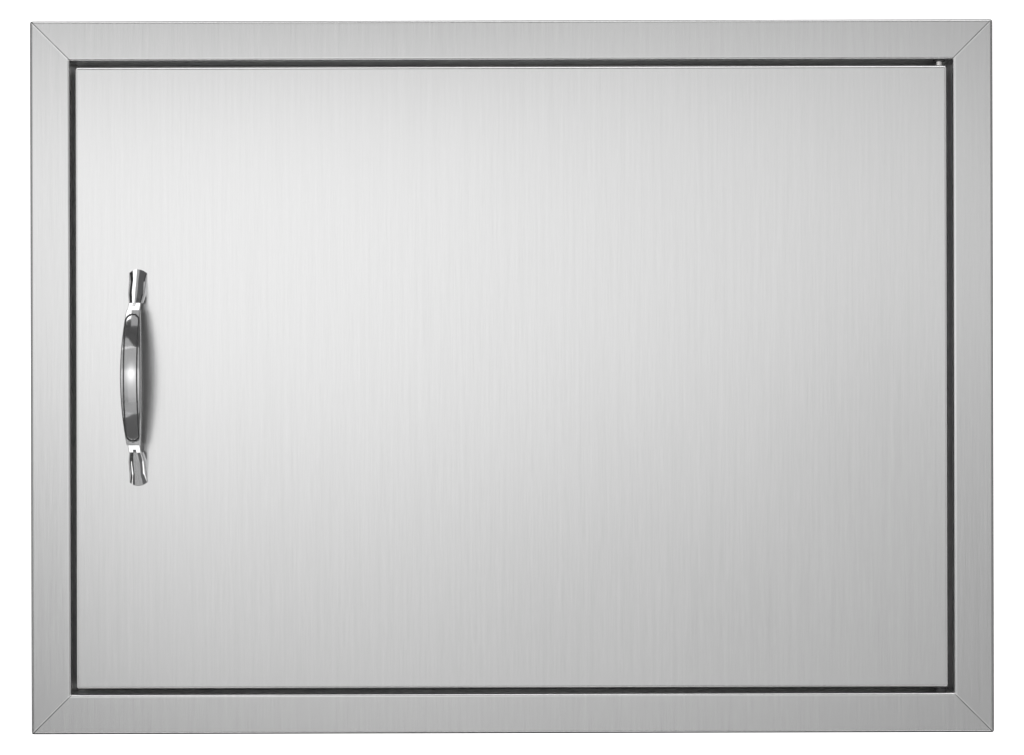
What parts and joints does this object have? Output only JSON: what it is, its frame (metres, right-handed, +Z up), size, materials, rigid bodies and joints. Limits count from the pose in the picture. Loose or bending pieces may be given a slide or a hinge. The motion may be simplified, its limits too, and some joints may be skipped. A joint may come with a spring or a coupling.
{
  "type": "outdoor kitchen access door",
  "caption": "Flush hinged access door for an outdoor kitchen island: mitred steel trim frame with a sleeve, tray door on pivots, sprung pivot bolt, bow handle and magnetic catch.",
  "frame": {"origin": "centre of the island's cut-out, in the plane of the island's face on which the trim frame's outer lip seats", "axes": "+X to the right as one faces the door, +Y into the island, +Z up; the door is hinged on the +X side and opens towards -Y"},
  "size_m": [0.6858, 0.0735, 0.508],
  "materials": {
    "brushed_sheet": "stainless sheet with an upright brushed grain",
    "brushed_door": "stainless sheet with an upright brushed grain",
    "plain_sheet": "plain mill-finish stainless sheet",
    "turned_steel": "turned bright steel",
    "plated_steel": "zinc-plated steel",
    "rivet_steel": "plain stainless steel",
    "spring_steel": "drawn spring wire and pressed clip",
    "polished_chrome": "polished chrome plate on a zinc casting",
    "nylon": "moulded black nylon",
    "black_plastic": "moulded black plastic",
    "ferrite": "ground ferrite",
    "rubber": "soft black rubber"
  },
  "bodies": {
    "frame": {"frame_latch_stile": "brushed_sheet", "frame_hinge_stile": "brushed_sheet", "frame_top_rail": "brushed_sheet", "frame_bottom_rail": "brushed_sheet", "top_pivot_bush": "nylon", "bottom_pivot_pin": "turned_steel", "bottom_pivot_washer": "nylon", "catch_housing": "black_plastic", "catch_magnet": "ferrite", "catch_pole_plates": "plated_steel", "catch_screws": "plated_steel", "stop_bumpers": "rubber"},
    "door": {"door_panel": "brushed_door", "door_stiffeners": "plain_sheet", "handle": "polished_chrome", "handle_washers": "plated_steel", "handle_screws": "plated_steel", "top_pivot_bracket": "plain_sheet", "bottom_pivot_bracket": "plain_sheet", "bottom_pivot_bush": "nylon", "strike_plate": "plated_steel", "strike_rivets": "rivet_steel", "pivot_spring": "spring_steel"},
    "pivot_bolt": {"pivot_bolt": "turned_steel", "bolt_clip": "spring_steel"}
  },
  "joints": [
    {"name": "door_hinge", "type": "hinge", "parent": "frame", "child": "door", "pos_m": [0.3057, -0.0025, 0], "axis": [0, 0, 1], "range_deg": [0, 105]},
    {"name": "pivot_bolt_slide", "type": "slide", "parent": "door", "child": "pivot_bolt", "axis": [0, 0, -1], "range_m": [0, 0.011], "stiffness_N_per_m": 250, "springref_m": -0.012, "deforming": ["pivot_spring"]}
  ]
}
